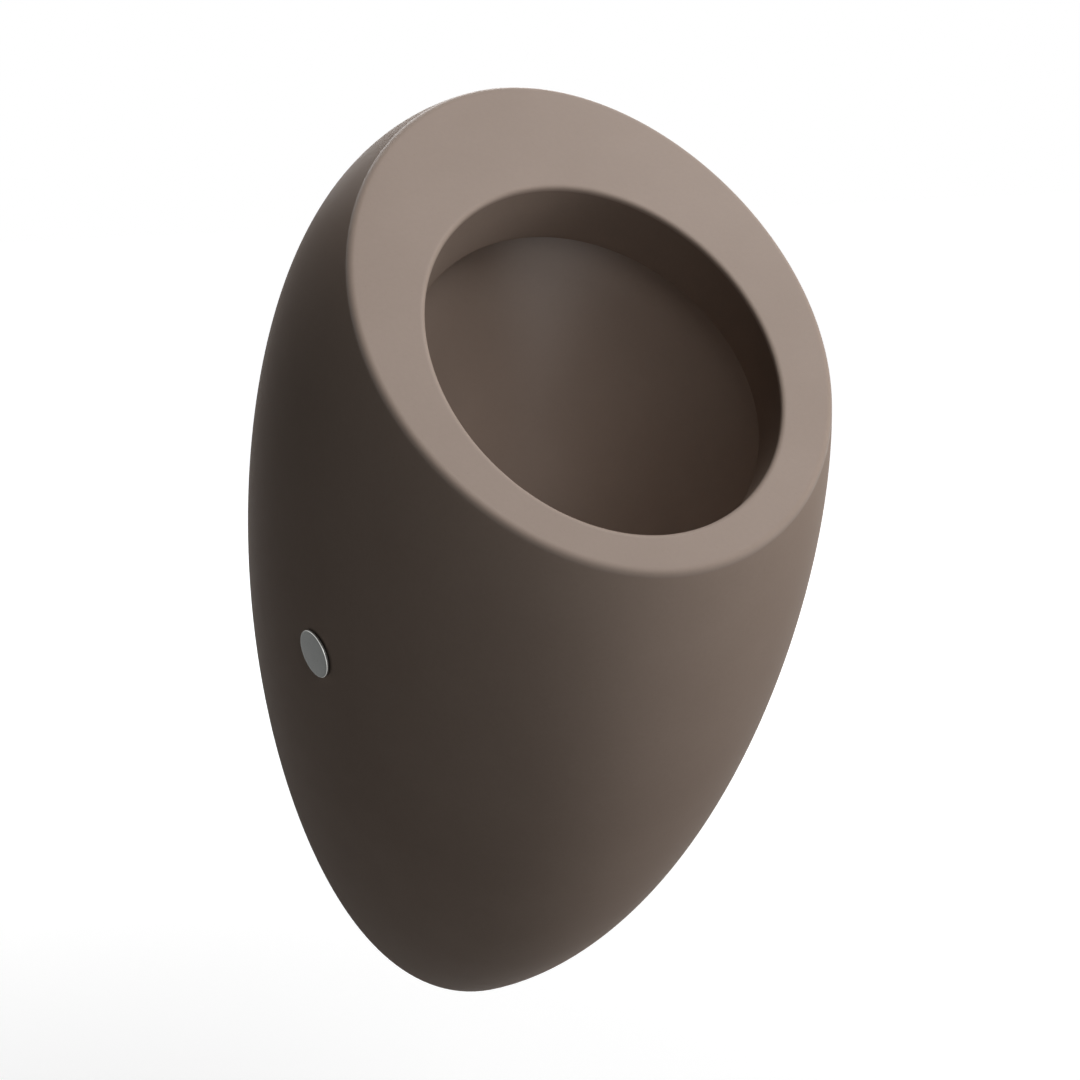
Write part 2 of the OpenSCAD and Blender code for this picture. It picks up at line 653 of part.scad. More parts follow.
// Wall hooks, their pads and the wall screws
hook_w = 40;
hook_drop = 55;
hook_screw_drop = 35;
lip_h = 12;
pad_t = 2;
shelf_z = bar_z - pad_t;
hook_depth = bar_t + 2 * bar_gap + 2 * hook_t;
hook_screw_z = shelf_z - hook_screw_drop;
hook_places = [-hook_gap / 2, hook_gap / 2];
module wall_hooks() {
    color(steel) for (x = hook_places) difference() {
        translate([x - hook_w / 2, 0, shelf_z]) rotate([90, 0, 90]) linear_extrude(hook_w) polygon([
            [0, -hook_drop], [0, 0], [hook_t - hook_depth, 0], [hook_t - hook_depth, lip_h],
            [-hook_depth, lip_h], [-hook_depth, -hook_t], [-hook_t, -hook_t], [-hook_t, -hook_drop]]);
        to_wall(x, -hook_t - over, hook_screw_z)
            cylinder(r = screw_r + hole_gap, h = hook_t + 2 * over, $fn = 96);
    }
}
module hook_pads() {
    color(nylon) for (x = hook_places) translate([x - hook_w / 2 + edge, bar_back_y - bar_t - edge, shelf_z])
        cube([hook_w - 2 * edge, bar_t + 2 * edge, pad_t]);
}
// Each wall screw's place on the wall, and the thickness of what it holds
screw_places = [[-bracket_x, 0, plate_t], [bracket_x, 0, plate_t], [-hook_gap / 2, hook_screw_z, hook_t],
    [hook_gap / 2, hook_screw_z, hook_t]];
washer_t = 1.6;
washer_r = 8.5;
wall_head_r = 7.5;
wall_head_t = 5.3;
plug_floor = 4;
wall_screw_len = plug_len - plug_floor;
module wall_screws() {
    color(steel) for (p = screw_places) {
        to_wall(p[0], -p[2] - washer_t - wall_head_t, p[1]) cylinder(r = wall_head_r, h = wall_head_t, $fn = 6);
        to_wall(p[0], -p[2] - washer_t - over, p[1])
            cylinder(r = screw_r, h = p[2] + washer_t + over + wall_screw_len, $fn = 48);
    }
}
module wall_washers() {
    color(steel) for (p = screw_places)
        to_wall(p[0], -p[2] - washer_t, p[1]) ring(washer_r, screw_r + fit, washer_t);
}
module wall_plugs() {
    color(nylon) for (p = screw_places) to_wall(p[0], 0, p[1]) difference() {
        cylinder(r = plug_r, h = plug_len, $fn = 48);
        translate([0, 0, -over]) cylinder(r = screw_r + run_fit, h = wall_screw_len + 2 * over, $fn = 48);
    }
}

ceramic_body();
inlet_spud();
inlet_gasket();
inlet_rear_gasket();
inlet_lock_nut();
water_spreader();
inlet_pipe();
inlet_pipe_seal();
drain_flange();
drain_gasket();
drain_lower_gasket();
drain_lock_nut();
strainer();
trap_body();
trap_seal_ring();
trap_insert();
insert_o_ring();
outlet_pipe();
outlet_lip_seal();
wall_cuff();
bracket_left();
bracket_right();
side_bush_left();
side_bush_right();
side_screw_left();
side_screw_right();
cap_left();
cap_right();
wall_hooks();
hook_pads();
wall_screws();
wall_washers();
wall_plugs();
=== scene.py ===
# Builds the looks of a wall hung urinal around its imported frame.
import json
import math
import bpy
import numpy as np
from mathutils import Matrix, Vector


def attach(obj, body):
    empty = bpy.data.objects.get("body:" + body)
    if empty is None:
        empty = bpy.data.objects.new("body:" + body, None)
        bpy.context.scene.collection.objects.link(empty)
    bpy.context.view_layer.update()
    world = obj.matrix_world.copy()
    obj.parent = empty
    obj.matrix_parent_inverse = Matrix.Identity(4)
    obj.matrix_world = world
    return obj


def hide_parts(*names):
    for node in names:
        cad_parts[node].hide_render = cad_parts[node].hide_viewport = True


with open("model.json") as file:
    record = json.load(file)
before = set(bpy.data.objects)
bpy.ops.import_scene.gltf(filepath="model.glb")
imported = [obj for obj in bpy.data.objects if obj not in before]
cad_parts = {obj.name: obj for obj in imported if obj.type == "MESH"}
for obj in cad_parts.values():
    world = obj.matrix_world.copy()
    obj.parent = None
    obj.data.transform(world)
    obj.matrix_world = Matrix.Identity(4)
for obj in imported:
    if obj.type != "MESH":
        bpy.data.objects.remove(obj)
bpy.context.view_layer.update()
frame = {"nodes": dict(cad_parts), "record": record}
print("frame loaded")

# The ceramic body, in metres. The wall is y = 0, the front faces -Y.
body = {
    "width": 0.310, "eggHeight": 0.662, "eggDrop": 0.364, "eggDepth": 0.228,
    "skin": 0.010, "bowlWall": 0.009,
    "rimSlope": math.radians(40.5), "rimZ": 0.230, "rimY": 0.125,
    "mouthWidth": 0.185, "mouthLength": 0.228, "mouthShift": 0.0935,
    # The pale weight on the rounded edges stands partly for thin glaze and partly for a painted highlight
    "rimRound": 0.003, "mouthRound": 0.003, "edgeThin": 0.15,
    "bandDepth": 0.040, "bandWidth": 0.190, "bandLength": 0.218, "bandLift": 0.0045,
    "bandRound": 0.0012,
    "undercut": 0.012, "bowlBack": 0.042, "bowlTopIn": 0.0144,
    "sumpDrop": 0.062, "sumpRadius": 0.034, "drainY": 0.082,
    "widthShares": [1, 0.26, 0.08],
    "depthShares": [1, 0.07, 0.23, 0.33, 0.06],
    "middleShares": [0.13, 0.635, -0.29, 0, 0.035],
    "backShares": [0.12, 0.72], "frontDropShare": 0.32, "frontRunShare": 0.45, "sumpLiftShare": 0.14,
    "widthPower": 1.35, "wallCentreShare": 0.06, "wallRound": 0.0012,
    "around": 288, "lean": math.radians(16),
    "skinRows": 88, "bowlRows": 64, "hollowRows": 28, "backRows": 30, "roundRows": 9,
    "bandRows": 11, "bandEdgeRows": 5, "bandBackRows": 4, "wallRoundRows": 4,
    "ledgeShares": [0.6, 0.3], "faceShares": [0.02, 0.2, 0.4, 0.6, 0.8, 0.98],
    "peakStep": 0.02, "flattest": 1e-9, "halvings": 40, "sharpAngle": math.radians(38),
}


# The sum of share times u to the power of its place in the list
def powerSum(shares, u):
    return sum(share * u ** power for power, share in enumerate(shares))


# The level runs evenly from -1 at the egg's lowest point to 1 at its top
def level(z):
    return 2 * (z + body["eggDrop"]) / body["eggHeight"] - 1


# The square root of 1 less the level squared
def bulge(u):
    return np.sqrt(np.maximum(body["flattest"], 1 - u * u))


peakLevels = np.arange(-1, 1 + body["peakStep"] / 2, body["peakStep"])
widthPeak = float(np.max(bulge(peakLevels) * powerSum(body["widthShares"], peakLevels)))


# The egg at a height is an ellipse. Its half width and half depth are the bulge times a sum of powers
# of the level, and its middle is such a sum alone.
def halfWidth(z):
    u = np.clip(level(z), -1, 1)
    return body["width"] / 2 * bulge(u) * powerSum(body["widthShares"], u) / widthPeak


def halfDepth(z):
    u = np.clip(level(z), -1, 1)
    return body["eggDepth"] * bulge(u) * powerSum(body["depthShares"], u)


def middleY(z):
    return -body["eggDepth"] * powerSum(body["middleShares"], np.clip(level(z), -1, 1))


# (across over half width) squared plus (depth from the middle over half depth) squared, which is
# below one inside the egg and one on its skin
def eggValue(points):
    z = points[..., 2]
    value = (points[..., 0] / halfWidth(z)) ** 2 + ((points[..., 1] - middleY(z)) / halfDepth(z)) ** 2
    return np.where(np.abs(level(z)) >= 1, 2.0, value)


# How far from the points o along d the skin lies, found by halving a distance, as whole arrays
def onRay(o, d):
    low = np.zeros(d.shape[:-1])
    high = np.full(d.shape[:-1], body["width"] + body["eggDepth"])
    for _ in range(body["halvings"]):
        middle = (low + high) / 2
        inside = eggValue(o + middle[..., None] * d) < 1
        low = np.where(inside, middle, low)
        high = np.where(inside, high, middle)
    return (low + high) / 2


slope = body["rimSlope"]
angles = np.arange(body["around"]) * 2 * math.pi / body["around"]
angles = angles - body["lean"] * np.cos(angles)


# A point (y, z) at a distance down the rim's slope and a depth below its face
def rimPoint(down, depth):
    return np.array([-body["rimY"] - down * math.cos(slope) + depth * math.sin(slope),
                     body["rimZ"] - down * math.sin(slope) - depth * math.cos(slope)])


# A loop round the egg in a plane turned by a share of the way from the wall to the rim's slope, about
# the line where a plane parallel to the rim meets the wall. Its point at an angle is the plane's centre
# plus the way to the skin, less the inset, times (cos of the angle across, sin of the angle up the plane).
def skinLoop(depth, share, inset):
    turn = (math.pi / 2 - slope) * share
    hinge = body["rimZ"] + body["rimY"] * math.tan(slope) - depth / math.cos(slope)
    wallCentre = body["eggHeight"] * body["wallCentreShare"]
    rimCentre = body["rimY"] / math.cos(slope) + body["mouthShift"] - body["mouthRound"]
    reach = (1 - share) * (hinge - wallCentre) + share * (rimCentre - depth * math.tan(slope))
    fan = np.array([0, -math.sin(turn), -math.cos(turn)])
    o = np.array([0, 0, hinge]) + reach * fan
    d = np.cos(angles)[:, None] * np.array([1.0, 0, 0]) - np.sin(angles)[:, None] * fan
    return o + (onRay(o, d) - inset)[:, None] * d


# An oval between a back point and a front point, both (y, z): half width times cos across, and half the
# way from front to back times sin
def oval(back, front, half):
    middle = (back + front) / 2
    reach = (back - front) / 2
    return np.stack([half * np.cos(angles), middle[0] + reach[0] * np.sin(angles),
                     middle[1] + reach[1] * np.sin(angles)], axis=-1)


# The band's loop at a depth below the rim, grown outwards: an oval whose ends and width run evenly from
# the mouth to the band's lower edge
def bandLoop(depth, grow):
    s = depth / body["bandDepth"]
    mouthTop = body["mouthShift"] - body["mouthLength"] / 2
    mouthLow = body["mouthShift"] + body["mouthLength"] / 2
    bandTop = body["mouthShift"] - body["bandLift"] - body["bandLength"] / 2
    bandLow = body["mouthShift"] - body["bandLift"] + body["bandLength"] / 2
    half = ((1 - s) * body["mouthWidth"] + s * body["bandWidth"]) / 2
    return oval(rimPoint((1 - s) * mouthTop + s * bandTop - grow, depth),
                rimPoint((1 - s) * mouthLow + s * bandLow + grow, depth), half + grow)


# A point at t on the cubic curve of four control points
def cubic(p, t):
    return (1 - t) ** 3 * p[0] + 3 * (1 - t) ** 2 * t * p[1] + 3 * (1 - t) * t * t * p[2] + t ** 3 * p[3]


# Loops from a to c that bend towards b: (1 - t) squared a + 2 t (1 - t) b + t squared c
def blendRows(a, b, c, count, skipFirst=True):
    steps = np.linspace(0, 1, count + 1)
    return [(1 - t) ** 2 * a + 2 * t * (1 - t) * b + t * t * c for t in (steps[1:] if skipFirst else steps)]


# The bowl's top end (y, z), in the plane of the band's lower edge and a little in front of the bowl's back
def bowlTop():
    y = -body["bowlBack"] - body["bowlTopIn"]
    down = (body["bandDepth"] * math.sin(slope) - body["rimY"] - y) / math.cos(slope)
    return rimPoint(down, body["bandDepth"])


# The bowl's loop at s, from the undercut at 0 to the sump at 1, grown outwards by g: an oval whose back
# and front points each run down a cubic curve, and whose half width narrows by a power of s
def bowlLoop(s, g):
    bandLow = body["mouthShift"] - body["bandLift"] + body["bandLength"] / 2
    backStart = bowlTop()
    frontStart = rimPoint(bandLow + body["undercut"], body["bandDepth"])
    fall = frontStart[1] + body["sumpDrop"]
    backFall = backStart[1] + body["sumpDrop"]
    highShare, lowShare = body["backShares"]
    back = [backStart + [g, g],
            np.array([-body["bowlBack"] + g, backStart[1] - highShare * backFall + g]),
            np.array([-body["bowlBack"] + g, backStart[1] - lowShare * backFall]),
            np.array([-body["drainY"] + body["sumpRadius"] + g, -body["sumpDrop"] - g])]
    run = body["frontRunShare"]
    front = [frontStart - [g, 0],
             frontStart + [body["bowlBack"] * body["frontDropShare"] - g, -fall * run],
             np.array([frontStart[0] * (1 - run) - body["drainY"] * run - g / 2,
                       -body["sumpDrop"] + fall * body["sumpLiftShare"] - g]),
             np.array([-body["drainY"] - body["sumpRadius"] - g / 2, -body["sumpDrop"] - g])]
    wide = body["bandWidth"] / 2 + body["undercut"]
    share = 1 - s ** body["widthPower"]
    half = body["sumpRadius"] * (1 - share) + wide * share + g
    return oval(cubic(back, s), cubic(front, s), half)


# Puts points, faces, each face's material number and each point's weight into a new object
def meshObject(name, points, faces, kinds, weights, materials):
    mesh = bpy.data.meshes.new(name)
    mesh.from_pydata(points.tolist(), [], faces)
    for material in materials:
        mesh.materials.append(material)
    mesh.polygons.foreach_set("material_index", np.asarray(kinds, np.int32))
    mesh.polygons.foreach_set("use_smooth", np.ones(len(faces), bool))
    # The point weights mark pale edges: thin glaze and a painted highlight
    layer = mesh.attributes.new("thinGlazeAndPaintedHighlight", "FLOAT", "POINT")
    layer.data.foreach_set("value", np.asarray(weights, np.float32))
    mesh.update()
    piece = bpy.data.objects.new(name, mesh)
    bpy.context.scene.collection.objects.link(piece)
    return piece


# Six times the volume inside triangles: the sum of a . (b x c) over their corners
def sixVolumes(corners):
    return float(np.sum(corners[:, 0] * np.cross(corners[:, 1], corners[:, 2])))


# A skin over loops of the same length, closed by a point at each end and turned to face outwards.
# Rows carry a material's number and a weight.
def closedSkin(name, loops, rowMaterials, rowWeights, first, last, materials):
    n = len(loops[0])
    points = np.concatenate([[first]] + loops + [[last]])
    k = np.arange(n)
    nextK = (k + 1) % n
    rows = np.arange(len(loops) - 1)[:, None] * n + 1
    quads = np.stack([rows + k, rows + nextK, rows + nextK + n, rows + k + n], axis=-1).reshape(-1, 4)
    end = len(points) - 1
    firstFan = np.stack([np.zeros(n, int), 1 + nextK, 1 + k], axis=-1)
    lastFan = np.stack([np.full(n, end), end - n + k, end - n + nextK], axis=-1)
    triangles = np.concatenate([quads[:, [0, 1, 2]], quads[:, [0, 2, 3]], firstFan, lastFan])
    if sixVolumes(points[triangles]) < 0:
        quads, firstFan, lastFan = quads[:, ::-1], firstFan[:, ::-1], lastFan[:, ::-1]
    faces = quads.tolist() + firstFan.tolist() + lastFan.tolist()
    kinds = np.concatenate([np.repeat(rowMaterials[1:], n), np.full(n, rowMaterials[0]),
                            np.full(n, rowMaterials[-1])])
    weights = np.concatenate([[rowWeights[0]], np.repeat(rowWeights, n), [rowWeights[-1]]])
    return meshObject(name, points, faces, kinds, weights, materials)


# A profile of (radius, height) carried round an axis: place + height * axis + radius * (cos a, sin a)
# across it. The profile starts and ends on the axis.
def turned(name, profile, place, axis, kind, materials, steps=96, weights=None):
    axis = np.asarray(axis, float) / np.linalg.norm(axis)
    wellOff = [0.0, 0.0, 1.0] if abs(axis[2]) < 0.9 else [1.0, 0.0, 0.0]
    side = np.cross(axis, wellOff)
    side /= np.linalg.norm(side)
    other = np.cross(axis, side)
    a = np.arange(steps) * 2 * math.pi / steps
    ringWay = np.cos(a)[:, None] * side + np.sin(a)[:, None] * other
    place = np.asarray(place, float)
    loops = [place + h * axis + r * ringWay for r, h in profile[1:-1]]
    first = place + profile[0][1] * axis
    last = place + profile[-1][1] * axis
    weights = weights or [0.0] * len(loops)
    return closedSkin(name, loops, [kind] * len(loops), weights, first, last, materials)


# A quarter round from a start to an end, under a corner: corner + (start - corner) * (1 - sin t)
# + (end - corner) * (1 - cos t)
def rounded(start, corner, end, count):
    t = np.linspace(0, math.pi / 2, count + 1)[:, None]
    start, corner, end = (np.asarray(v, float) for v in (start, corner, end))
    return corner + (start - corner) * (1 - np.sin(t)) + (end - corner) * (1 - np.cos(t))


# A straight drum with quarter rounds at its ends, as a profile from its lower end to its upper end
def drum(radius, low, high, lowRound, highRound, rows=5):
    bottom = rounded([radius - lowRound, low], [radius, low], [radius, low + lowRound], rows).tolist()
    top = rounded([radius, high - highRound], [radius, high], [radius - highRound, high], rows).tolist()
    return [[0, low]] + bottom + top + [[0, high]]


# A drum whose upper end flares out, which leaves a rounded edge where it cuts a hole
def flared(radius, low, mouth, flare, beyond, rows=6):
    edge = rounded([radius, mouth - flare], [radius, mouth], [radius + flare, mouth], rows).tolist()
    return [[0, low], [radius, low]] + edge + [[radius + flare, mouth + beyond], [0, mouth + beyond]]


# Joins or cuts a piece with others, keeps the result as its mesh and removes the others
def carve(piece, others, operation):
    bag = bpy.data.collections.new(piece.name + operation)
    for other in others:
        bag.objects.link(other)
    step = piece.modifiers.new(operation, "BOOLEAN")
    step.operation = operation
    step.operand_type = "COLLECTION"
    step.collection = bag
    step.solver = "MANIFOLD"
    graph = bpy.context.evaluated_depsgraph_get()
    result = bpy.data.meshes.new_from_object(piece.evaluated_get(graph))
    piece.modifiers.clear()
    old = piece.data
    piece.data = result
    bpy.data.meshes.remove(old)
    for other in others:
        bpy.data.objects.remove(other)
    bpy.data.collections.remove(bag)


# A shader node with its settings, its input values and its links from (node, output) pairs
def newNode(tree, kind, settings=None, values=None, links=None):
    node = tree.nodes.new("ShaderNode" + kind)
    for key, value in (settings or {}).items():
        setattr(node, key, value)
    for key, value in (values or {}).items():
        node.inputs[key].default_value = value
    for key, (source, output) in (links or {}).items():
        tree.links.new(source.outputs[output], node.inputs[key])
    return node


# The noises behind every finish, and the spans of each that run from one tone or gloss to the other
noise = {
    "cloud": {"Detail": 4.0, "Roughness": 0.6}, "cloudSpan": (0.32, 0.68),
    "grain": {"Detail": 3.0, "Roughness": 0.55}, "grainSpan": (0.3, 0.7), "glossSpan": (0.25, 0.75),
    "speckSpan": (0.05, 0.14),
}


# A map range node from one span of values to another
def newRange(tree, span, start, end, source):
    values = {"From Min": span[0], "From Max": span[1], "To Min": start, "To Max": end}
    return newNode(tree, "MapRange", None, values, {"Value": source})


# Mixes a plain colour over another by a factor
def mixOver(tree, under, colour, factor):
    mixed = newNode(tree, "Mix", {"data_type": "RGBA"}, None, {"Factor": factor})
    a, b = [i for i in mixed.inputs if i.enabled and i.name in ("A", "B")]
    b.default_value = (*colour, 1)
    tree.links.new(under, a)
    return [o for o in mixed.outputs if o.enabled][0]


# A finish from one recipe: two tones mixed by cloudy noise, fine grain in colour, roughness and bump
def makeFinish(name, recipe):
    m = bpy.data.materials.new(name)
    m.use_nodes = True
    tree = m.node_tree
    shader = tree.nodes["Principled BSDF"]
    coords = newNode(tree, "TexCoord")
    place = newNode(tree, "Mapping", None, {"Scale": recipe.get("stretch", (1, 1, 1))},
                    {"Vector": (coords, "Object")})
    clouds = newNode(tree, "TexNoise", None, {"Scale": recipe["cloudScale"], **noise["cloud"]},
                     {"Vector": (coords, "Object")})
    grain = newNode(tree, "TexNoise", None, {"Scale": recipe["grainScale"], **noise["grain"]},
                    {"Vector": (place, "Vector")})
    tone = newNode(tree, "ValToRGB", None, None, {"Fac": (clouds, "Fac")})
    tones = (recipe["dark"], recipe["light"])
    for stop, at, colour in zip(tone.color_ramp.elements, noise["cloudSpan"], tones):
        stop.position = at
        stop.color = (*colour, 1)
    change = recipe["grainTone"]
    grainTone = newRange(tree, noise["grainSpan"], 1 - change, 1 + change, (grain, "Fac"))
    grained = newNode(tree, "VectorMath", {"operation": "SCALE"}, None,
                      {0: (tone, "Color"), "Scale": (grainTone, "Result")})
    colour = grained.outputs[0]
    if "specks" in recipe:
        spots = newNode(tree, "TexVoronoi", None, {"Scale": recipe["speckScale"]},
                        {"Vector": (coords, "Object")})
        spotSize = newRange(tree, noise["speckSpan"], recipe["specks"], 0.0, (spots, "Distance"))
        colour = mixOver(tree, colour, recipe["speckColour"], (spotSize, "Result"))
    # A pale colour mixed in by the point weights: on the ceramic's rounded edges thin glaze and a painted
    # highlight, on the caps' turned edges a painted highlight
    if "thin" in recipe:
        weight = newNode(tree, "Attribute", {"attribute_name": "thinGlazeAndPaintedHighlight"})
        colour = mixOver(tree, colour, recipe["thin"], (weight, "Fac"))
    tree.links.new(colour, shader.inputs["Base Color"])
    rough = newRange(tree, noise["glossSpan"], *recipe["rough"], (grain, "Fac"))
    tree.links.new(rough.outputs["Result"], shader.inputs["Roughness"])
    bump = newNode(tree, "Bump", None, {"Strength": recipe["bump"], "Distance": recipe["bumpDepth"]},
                   {"Height": (grain, "Fac")})
    tree.links.new(bump.outputs["Normal"], shader.inputs["Normal"])
    shader.inputs["Metallic"].default_value = recipe.get("metallic", 0.0)
    shader.inputs["Specular IOR Level"].default_value = recipe.get("specular", 0.5)
    return m


# What all glazes share: faint clouds, fine grain and small iron specks
glaze = {
    "cloudScale": 9.0, "grainScale": 420.0, "grainTone": 0.015, "bumpDepth": 0.0006,
    "specks": 0.10, "speckScale": 330.0, "speckColour": (0.12, 0.08, 0.06),
}
# The glaze outside the bowl is satin, and paler along rounded edges: partly where it runs thin over an
# edge, partly a painted highlight
satinGlaze = {**glaze, "rough": (0.36, 0.50), "bump": 0.05, "thin": (0.43, 0.34, 0.28)}
# The finishes by material slot, with the rim's and the bowl's own glazes, and the band's glaze darkened as
# painted shade under the rim
finishes = {
    "glazed_ceramic": {
        **satinGlaze, "dark": (0.328, 0.253, 0.208), "light": (0.353, 0.274, 0.226), "specular": 0.002},
    "rim_glaze": {
        **satinGlaze, "dark": (0.314, 0.246, 0.206), "light": (0.338, 0.266, 0.224), "specular": 0.1},
    # The band's darker tone is painted shade: the same glaze as outside, darkened for the shade under the
    # rim
    "band_painted_shade": {
        **satinGlaze, "dark": (0.255, 0.197, 0.162), "light": (0.275, 0.214, 0.176), "specular": 0.002},
    "bowl_glaze": {
        **glaze, "dark": (0.284, 0.216, 0.176), "light": (0.306, 0.236, 0.194), "rough": (0.32, 0.42),
        "bump": 0.03, "specular": 0.8},
    "bisque": {
        "dark": (0.40, 0.34, 0.28), "light": (0.50, 0.43, 0.36), "cloudScale": 14.0, "grainScale": 900.0,
        "grainTone": 0.10, "rough": (0.75, 0.95), "bump": 0.35, "bumpDepth": 0.0004, "specks": 0.5,
        "speckScale": 240.0, "speckColour": (0.25, 0.17, 0.12), "specular": 0.3},
    "steel": {
        "dark": (0.30, 0.31, 0.31), "light": (0.38, 0.39, 0.385), "cloudScale": 60.0, "grainScale": 500.0,
        "grainTone": 0.10, "rough": (0.28, 0.42), "bump": 0.12, "bumpDepth": 0.0002,
        "stretch": (1.0, 1.0, 14.0), "metallic": 1.0},
    # The cap steel turns pale along its turned edge: a painted highlight
    "cap_steel": {
        "dark": (0.044, 0.047, 0.044), "light": (0.054, 0.057, 0.053), "cloudScale": 40.0,
        "grainScale": 260.0, "grainTone": 0.10, "rough": (0.26, 0.36), "bump": 0.05, "bumpDepth": 0.0002,
        "stretch": (1.0, 1.0, 12.0), "metallic": 1.0, "thin": (0.62, 0.62, 0.60)},
    "zinc_steel": {
        "dark": (0.40, 0.41, 0.40), "light": (0.58, 0.58, 0.55), "cloudScale": 70.0, "grainScale": 650.0,
        "grainTone": 0.12, "rough": (0.34, 0.56), "bump": 0.15, "bumpDepth": 0.0003, "metallic": 1.0},
    "chrome": {
        "dark": (0.60, 0.61, 0.62), "light": (0.68, 0.69, 0.70), "cloudScale": 30.0, "grainScale": 300.0,
        "grainTone": 0.02, "rough": (0.07, 0.14), "bump": 0.02, "bumpDepth": 0.0002, "metallic": 1.0},
    "brass": {
        "dark": (0.50, 0.35, 0.13), "light": (0.63, 0.46, 0.20), "cloudScale": 80.0, "grainScale": 700.0,
        "grainTone": 0.08, "rough": (0.25, 0.42), "bump": 0.10, "bumpDepth": 0.0002,
        "stretch": (1.0, 9.0, 1.0), "metallic": 1.0},
    "rubber": {
        "dark": (0.016, 0.016, 0.017), "light": (0.034, 0.033, 0.032), "cloudScale": 90.0,
        "grainScale": 1400.0, "grainTone": 0.15, "rough": (0.62, 0.85), "bump": 0.25, "bumpDepth": 0.0002,
        "specular": 0.4},
    "dark_plastic": {
        "dark": (0.050, 0.053, 0.056), "light": (0.066, 0.069, 0.072), "cloudScale": 24.0,
        "grainScale": 1600.0, "grainTone": 0.08, "rough": (0.40, 0.55), "bump": 0.18, "bumpDepth": 0.0002},
    "pale_plastic": {
        "dark": (0.62, 0.61, 0.57), "light": (0.70, 0.69, 0.65), "cloudScale": 24.0, "grainScale": 1600.0,
        "grainTone": 0.04, "rough": (0.38, 0.52), "bump": 0.14, "bumpDepth": 0.0002},
}
dressed = {name: makeFinish(name, recipe) for name, recipe in finishes.items()}
print("finishes made:", len(dressed))


# Holes, bosses and the bar on the ceramic, in metres
fitting = {
    "sideY": 0.131, "sideHole": 0.0103, "sideEdge": 0.0008, "sideIn": 0.002, "sideMouth": 0.0003,
    "sideOut": 0.002, "probe": 0.0003,
    "bossRadius": 0.040, "bossHeight": 0.018, "bossRound": 0.002, "bossRootShare": 0.5, "rootRound": 0.0002,
    "drainHole": 0.026, "drainOver": 0.001, "seatRadius": 0.0328, "seatDepth": 0.005, "seatEdge": 0.0010,
    "seatOut": 0.004,
    "inletDrop": 0.013, "inletBoss": 0.020, "inletBossOut": 0.008, "inletRootShare": 0.6,
    "inletSeatIn": 0.008, "spudHole": 0.0115, "spudSeat": 0.0143, "spudIn": 0.01, "spudOut": 0.03,
    "cutRound": 0.0001,
    "barLow": 0.142, "barHeight": 0.018, "barThick": 0.009, "barBack": 0.0055, "barRoot": 0.003,
    "barRound": 0.0015, "barRows": 4,
}
# The body's materials, by their numbers on its faces
# The band's material is the glaze darkened as painted shade under the rim
outerGlaze, bareClay, bowlGlaze, bandPaintedShade, rimGlaze = range(5)
clayNames = ["glazed_ceramic", "bisque", "bowl_glaze", "band_painted_shade", "rim_glaze"]


# Half the body's width at the wall, y = 0: the half width times the root of 1 less (middle over half
# depth) squared
def wallHalfWidth(z):
    return float(halfWidth(z) * np.sqrt(1 - (middleY(z) / halfDepth(z)) ** 2))


# The flank's point and outward direction at a side fixing. The direction is how the egg's value changes
# over a small step along each axis, made one long.
def sidePlace(hand):
    y = -fitting["sideY"]
    x = float(halfWidth(0.0) * np.sqrt(1 - ((y - middleY(0.0)) / halfDepth(0.0)) ** 2))
    point = np.array([x, y, 0.0])
    steps = np.eye(3) * fitting["probe"]
    way = eggValue(point + steps) - eggValue(point - steps)
    way /= np.linalg.norm(way)
    flip = np.array([hand, 1.0, 1.0])
    return point * flip, way * flip


# The bar behind: a rectangle with quarter rounds at its corners, carried along X
def makeBar(materials):
    f = fitting
    y = [-f["barBack"] - f["barThick"], -f["barBack"]]
    z = [f["barLow"], f["barLow"] + f["barHeight"]]
    r = f["barRound"]
    corners = [(y[0], z[0], 1, 1), (y[1], z[0], -1, 1), (y[1], z[1], -1, -1), (y[0], z[1], 1, -1)]
    loop = []
    for index, (cy, cz, sy, sz) in enumerate(corners):
        ends = [(cy, cz + sz * r), (cy + sy * r, cz)]
        start, end = ends if index % 2 == 0 else ends[::-1]
        loop.append(rounded(start, (cy, cz), end, f["barRows"]))
    loop = np.concatenate(loop)
    half = wallHalfWidth(z[1]) - body["skin"] + f["barRoot"]
    loops = [np.column_stack([np.full(len(loop), x), loop]) for x in (-half, half)]
    middle = [(y[0] + y[1]) / 2, (z[0] + z[1]) / 2]
    return closedSkin("bar", loops, [bareClay, bareClay], [0.0, 0.0], [-half, *middle], [half, *middle],
                      materials)


